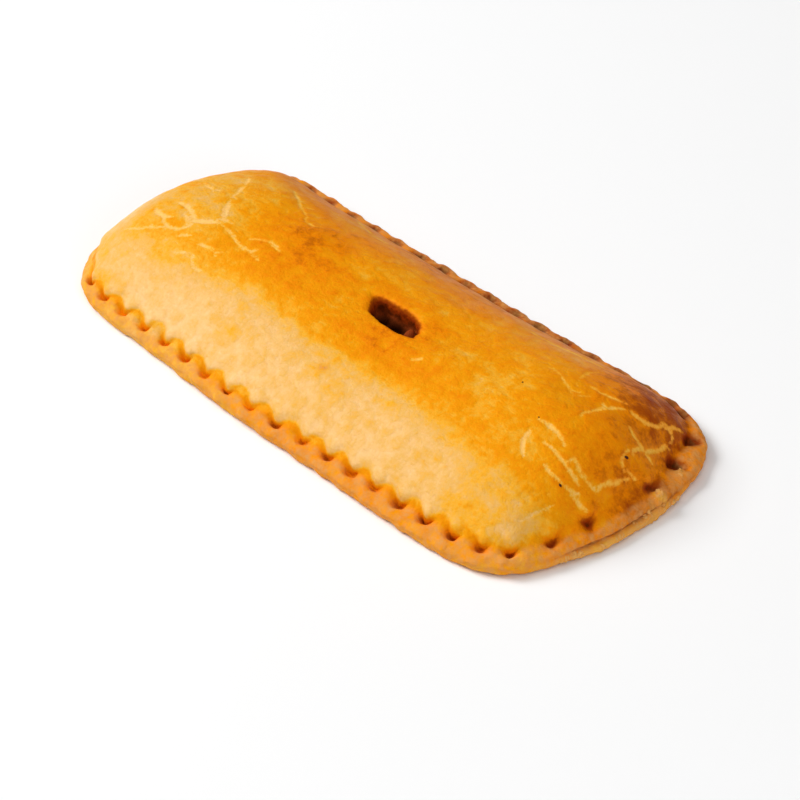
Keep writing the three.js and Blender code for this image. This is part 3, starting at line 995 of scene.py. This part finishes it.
def egg_washed_crust(colours):
    """Short pastry brushed with egg and baked: amber and satin on top, matte where the dough is bare.

    Egg browns in soft blotches and streaks of the brush, tears into pale ragged cracks as the dough
    swells, and burns dark in the pits of the crimp, where painted shade darkens it further.
    """
    material, tree, place = new_material("egg_washed_crust")
    height = add_node(tree, "SeparateXYZ", {0: place}, output="Z")
    fields = {
        name: add_node(tree, "Attribute", output="Fac", attribute_name=name)
        for name in ("brown", "pale", "dry", "bare", "crack", "filling")
    }

    # Patterns about 0, and the browning, the edge of the thin wash and painted highlight, and the cracks'
    # edges that they stir
    brushed = add_node(
        tree, "Mapping",
        {"Vector": place, "Rotation": (0.0, 0.0, BRUSH_HEADING), "Scale": (BRUSH_SHRINKING, 1.0, 1.0)},
    )
    patterns = {}
    for name, size, detail, roughness, drawn_out in PATTERNS:
        vector = brushed if drawn_out else place
        patterns[name] = add_node(
            tree, "TexNoise",
            {"Vector": vector, "Scale": per_mm(size), "Detail": detail, "Roughness": roughness},
            normalize=False,
        )
    strayed = {}
    for name, strays in STRAYS.items():
        total = fields[name]
        for pattern, strength in strays:
            inputs = {0: patterns[pattern], 1: strength, 2: total}
            total = add_node(tree, "Math", inputs, operation="MULTIPLY_ADD")
        strayed[name] = total
    shares = {}
    for name, value, (low, high) in (
        ("pale", strayed["pale"], PALE_EDGE),
        ("crack", strayed["crack"], CRACK_EDGE),
        ("filling", fields["filling"], FILLING_SHOWS),
        ("height", height, FILLING_HEIGHTS),
    ):
        shares[name] = add_node(
            tree, "MapRange", {"Value": value, "From Min": low, "From Max": high},
            interpolation_type="SMOOTHSTEP",
        )

    # Thin wash with its painted highlight, and cracks, are less brown, and the browning sets the colour
    tone = strayed["brown"]
    for name, change in (("pale", -PALER_WASH_AND_HIGHLIGHT), ("crack", -CRACK_PALENESS)):
        tone = add_node(tree, "Math", {0: shares[name], 1: change, 2: tone}, operation="MULTIPLY_ADD")
    colour = add_node(tree, "ValToRGB", {"Fac": tone})
    ramp = colour.node.color_ramp
    while len(ramp.elements) < len(COLOUR_STOPS):
        ramp.elements.new(1.0)
    for element, (name, at) in zip(ramp.elements, COLOUR_STOPS):
        element.position = at
        element.color = getattr(colours, name)

    # The dry rim is duller, bare dough and cracks are paler, and the filling shows down in the vent, with
    # painted shade in its hollows
    filling = add_node(
        tree, "Mix", {0: shares["height"], 6: colours.filling_in_shade, 7: colours.filling},
        output=2, data_type="RGBA",
    )
    flecked = add_node(
        tree, "Math", {0: patterns["fleck"], 1: RIM_FLECKS, 2: RIM_DRYNESS},
        operation="MULTIPLY_ADD", use_clamp=True,
    )
    for share, strength, shade in (
        (fields["dry"], flecked, colours.rim),
        (fields["bare"], BARE_STRENGTH, colours.golden),
        (shares["crack"], TORN_STRENGTH, colours.torn),
        (shares["filling"], 1.0, filling),
    ):
        part = add_node(tree, "Math", {0: share, 1: strength}, operation="MULTIPLY")
        colour = add_node(tree, "Mix", {0: part, 6: colour, 7: shade}, output=2, data_type="RGBA")

    # Satin where the egg lies, matte on the dry rim and in the cracks, hardly a gleam down in the vent
    gleam = add_node(
        tree, "Math", {0: fields["filling"], 1: -GLEAM_LOST_IN_VENT, 2: GLEAM},
        operation="MULTIPLY_ADD", use_clamp=True,
    )
    gleam = add_node(tree, "Math", {0: gleam, 1: GLEAM}, operation="MINIMUM")
    matte = add_node(tree, "Math", {0: fields["dry"], 1: shares["crack"]}, operation="MAXIMUM")
    roughness = GLAZE_ROUGHNESS
    for value, strength in ((patterns["mottle"], ROUGHER_MOTTLES), (matte, ROUGHER_MATTE)):
        inputs = {0: value, 1: strength, 2: roughness}
        roughness = add_node(tree, "Math", inputs, operation="MULTIPLY_ADD")
    bumps = {}
    for name, strength, depth in FINE_RELIEF:
        relief = {"Height": patterns[name], "Strength": strength, "Distance": depth * MM}
        bumps = {"Normal": add_node(tree, "Bump", {**relief, **bumps})}
    shader = add_node(
        tree, "BsdfPrincipled",
        {
            "Base Color": colour, "Roughness": roughness, "IOR": 1.44,
            "Specular IOR Level": gleam, "Specular Tint": colours.glaze,
            "Subsurface Weight": 0.12, "Subsurface Radius": (1.0, 0.4, 0.15),
            "Subsurface Scale": 1.5 * MM, **bumps,
        },
    )
    add_node(tree, "OutputMaterial", {"Surface": shader}, output=None)
    return material


def mottled_matte(name, light, dark, size):
    """Dry crumb or charred egg: dull all over, and two colours in grains of one size."""
    material, tree, place = new_material(name)
    grain = add_node(tree, "TexNoise", {"Vector": place, "Scale": per_mm(size), "Detail": 3.0})
    colour = add_node(tree, "Mix", {0: grain, 6: light, 7: dark}, output=2, data_type="RGBA")
    shader = add_node(
        tree, "BsdfPrincipled",
        {"Base Color": colour, "Roughness": 0.8, "Specular IOR Level": 0.2},
    )
    add_node(tree, "OutputMaterial", {"Surface": shader}, output=None)
    return material


def studio_paper(colours):
    """Matte white paper, as a studio floor: even, with a faint tooth."""
    material, tree, place = new_material("studio_paper")
    tooth = add_node(tree, "TexNoise", {"Vector": place, "Scale": per_mm(PAPER_TOOTH), "Detail": 2.0})
    bump = add_node(tree, "Bump", {"Height": tooth, "Strength": 0.1, "Distance": 0.05 * MM})
    shader = add_node(
        tree, "BsdfPrincipled",
        {"Base Color": colours.floor, "Roughness": 0.9, "Specular IOR Level": 0.1, "Normal": bump},
    )
    add_node(tree, "OutputMaterial", {"Surface": shader}, output=None)
    return material


def set_up(name, data, target, azimuth, elevation, distance):
    """Puts a light or the camera in the scene, away from its target and facing it.

    Azimuth 0 is the near side, towards -Y.
    """
    level = math.cos(elevation)
    away = Vector((math.sin(azimuth) * level, -math.cos(azimuth) * level, math.sin(elevation)))
    item = bpy.data.objects.new(name, data)
    item.location = Vector(target) + away * distance
    item.rotation_mode = "QUATERNION"
    item.rotation_quaternion = (-away).to_track_quat("-Z", "Y")
    bpy.context.scene.collection.objects.link(item)
    return item


def length_property(name, description, metres):
    """A length that a user may change."""
    return FloatProperty(name=name, description=description, default=metres, unit="LENGTH")


def power_property(name, description, watts):
    """A light's power that a user may change."""
    return FloatProperty(name=name, description=description, default=watts, unit="POWER")


class PastrySizes(bpy.types.PropertyGroup):
    """Sizes of the pastry."""

    length: length_property("Length", "Length over the rim", 0.18)
    width: length_property("Width", "Width over the rim, before its bulges", 0.082)
    crown: length_property("Crown", "Height of the dome before it sags", 0.0214)
    sag: length_property("Sag", "How far the crust has sunk about the vent", 0.0026)
    teeth: IntProperty(
        name="Teeth", description="Number of teeth of the crimp, all round", default=53, min=12)
    lobe_out: length_property("Lobe", "How far the crust swells over each pit", 0.0011)
    vent_length: length_property("Vent length", "Length of the vent", 0.0166)
    vent_width: length_property("Vent width", "Width of the vent", 0.0076)
    vent_depth: length_property("Vent depth", "From the crust down to the filling", 0.0065)


def colour_property(name, description, code):
    """A colour that a user may change."""
    return FloatVectorProperty(
        name=name, description=description, subtype="COLOR", size=4, min=0.0, max=1.0, default=srgb(code)
    )


class CrustColours(bpy.types.PropertyGroup):
    """Colours of the pastry and of the floor under it."""

    dough: colour_property("Dough", "Baked dough with no egg on it", "#f2c68c")
    golden: colour_property("Golden", "Lightly browned crust", "#e8b15c")
    honey: colour_property("Honey", "Crust between golden and amber", "#eeaa2e")
    amber: colour_property("Amber", "The glazed top", "#ee9808")
    orange: colour_property("Orange", "Deeper browned crust", "#ea8303")
    brown: colour_property("Brown", "Well browned crust", "#ad4f06")
    # The pit and burnt colours also carry the painted shade in the crimp's pits
    pit: colour_property("Pit", "Inside of the crimp's pits", "#963406")
    burnt_and_shade: colour_property("Burnt", "The darkest spots", "#521c04")
    rim: colour_property("Rim", "Dry dough of the rim", "#dc9952")
    torn: colour_property("Torn", "Young crust that shows in the cracks", "#ffc254")
    glaze: colour_property("Glaze", "Tint of the light that the baked egg reflects", "#ffd468")
    filling: colour_property("Filling", "Lumps of the filling", "#8a3c18")
    # Painted shade in the hollows of the filling, low in the vent
    filling_in_shade: colour_property("Dark filling", "Hollows of the filling", "#1c0802")
    speck: colour_property("Speck", "Charred bits on the crust", "#2b1a0b")
    floor: colour_property("Floor", "The studio floor", "#f8f8f8")


class StudioSettings(bpy.types.PropertyGroup):
    """Camera and lights."""

    azimuth: FloatProperty(
        name="Azimuth", description="Camera's way round from the near side",
        default=math.radians(47.15), subtype="ANGLE")
    elevation: FloatProperty(
        name="Elevation", description="Camera's height above the floor, as an angle",
        default=math.radians(37.99), subtype="ANGLE")
    distance: length_property("Distance", "From the camera to its target", 0.69574)
    target: FloatVectorProperty(
        name="Target", description="Point in the middle of the picture",
        default=(0.01383, -0.0054, 0.0), subtype="TRANSLATION")
    lens: FloatProperty(
        name="Lens", description="Focal length for a 36 mm sensor", default=124.16, unit="CAMERA")
    key_power: power_property("Key light", "Power of the large soft light at the left", 42.0)
    top_power: power_property("Top light", "Power of the soft light overhead", 33.0)
    side_power: power_property("Side light", "Power of the low soft light at the right", 14.0)
    fill: FloatProperty(
        name="Fill", description="Brightness of the room about the pastry", default=0.06)


class PASTRY_OT_crust(bpy.types.Operator):
    """Make the crust: the form of the dough, its crimp, vent, cracks and browning"""

    bl_idname = "pastry.crust"
    bl_label = "Bake crust"

    def execute(self, context):
        form = PastryForm(context.scene.pastry_sizes)
        mesh, middle = lay_dough(form)
        cut_vent(form, mesh, middle)
        bake(mesh)
        piece = add_piece("crust", mesh, egg_washed_crust(context.scene.crust_colours))
        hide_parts(CAD_NODE)
        return {"FINISHED"}


class PASTRY_OT_crumbs(bpy.types.Operator):
    """Strew crumbs on the lower sheet where the dough has parted"""

    bl_idname = "pastry.crumbs"
    bl_label = "Strew crumbs"

    def execute(self, context):
        colours = context.scene.crust_colours
        material = mottled_matte("dry_crumb", colours.golden, colours.rim, CRUMB_GRAIN)
        crust = bpy.data.objects["crust"].data
        add_lumps("crumbs", crumb_spots(crust), CRUMB_FLATNESS, material)
        return {"FINISHED"}


class PASTRY_OT_specks(bpy.types.Operator):
    """Set a few charred specks into the top of the crust"""

    bl_idname = "pastry.specks"
    bl_label = "Set specks"

    def execute(self, context):
        colours = context.scene.crust_colours
        material = mottled_matte("charred_speck", colours.speck, colours.burnt_and_shade, SPECK_GRAIN)
        crust = bpy.data.objects["crust"].data
        add_lumps("specks", marked_spots(crust, SPECKS, SPECK_SINK), SPECK_FLATNESS, material)
        return {"FINISHED"}


class PASTRY_OT_stage(bpy.types.Operator):
    """Set the floor, the soft lights and the camera"""

    bl_idname = "pastry.stage"
    bl_label = "Set stage"

    def execute(self, context):
        scene = context.scene
        studio = scene.studio_settings
        sheet = bmesh.new()
        bmesh.ops.create_grid(sheet, x_segments=1, y_segments=1, size=FLOOR_HALF_SIZE)
        bmesh.ops.translate(sheet, verts=sheet.verts, vec=(0.0, 0.0, -FLOOR_DROP * MM))
        mesh = mesh_from(sheet, "floor")
        mesh.materials.append(studio_paper(scene.crust_colours))
        floor = bpy.data.objects.new("floor", mesh)
        scene.collection.objects.link(floor)

        middle = (0.0, 0.0, 0.0)
        for name, azimuth, elevation, distance, size in SOFTBOXES:
            light = bpy.data.lights.new(name, "AREA")
            light.shape = "SQUARE"
            light.size = size
            light.energy = getattr(studio, name + "_power")
            set_up(name, light, middle, math.radians(azimuth), math.radians(elevation), distance)
        world = bpy.data.worlds.new("studio")
        world.use_nodes = True
        background = world.node_tree.nodes["Background"]
        background.inputs["Color"].default_value = (1.0, 1.0, 1.0, 1.0)
        background.inputs["Strength"].default_value = studio.fill
        scene.world = world
        scene.view_settings.view_transform = "Standard"

        camera = bpy.data.cameras.new("camera")
        camera.lens = studio.lens
        camera.sensor_width = SENSOR_WIDTH
        scene.camera = set_up(
            "camera", camera, studio.target, studio.azimuth, studio.elevation, studio.distance
        )
        return {"FINISHED"}


class PASTRY_PT_sidebar(bpy.types.Panel):
    """The pastry's sizes, colours and steps"""

    bl_idname = "PASTRY_PT_sidebar"
    bl_label = "Empanadilla"
    bl_space_type = "VIEW_3D"
    bl_region_type = "UI"
    bl_category = "Pastry"

    def draw(self, context):
        scene = context.scene
        for operator in OPERATORS:
            self.layout.operator(operator.bl_idname)
        for group_name in GROUPS:
            group = getattr(scene, group_name)
            column = self.layout.column()
            for name in group.__annotations__:
                column.prop(group, name)


OPERATORS = (PASTRY_OT_crust, PASTRY_OT_crumbs, PASTRY_OT_specks, PASTRY_OT_stage)
GROUPS = {"pastry_sizes": PastrySizes, "crust_colours": CrustColours, "studio_settings": StudioSettings}
CLASSES = (*GROUPS.values(), *OPERATORS, PASTRY_PT_sidebar)


def register():
    for cls in CLASSES:
        bpy.utils.register_class(cls)
    for name, group in GROUPS.items():
        setattr(bpy.types.Scene, name, PointerProperty(type=group))


def unregister():
    for name in GROUPS:
        delattr(bpy.types.Scene, name)
    for cls in reversed(CLASSES):
        bpy.utils.unregister_class(cls)


def main():
    register()
    bpy.ops.pastry.crust()
    bpy.ops.pastry.crumbs()
    bpy.ops.pastry.specks()
    bpy.ops.pastry.stage()


if __name__ == "__main__":
    main()
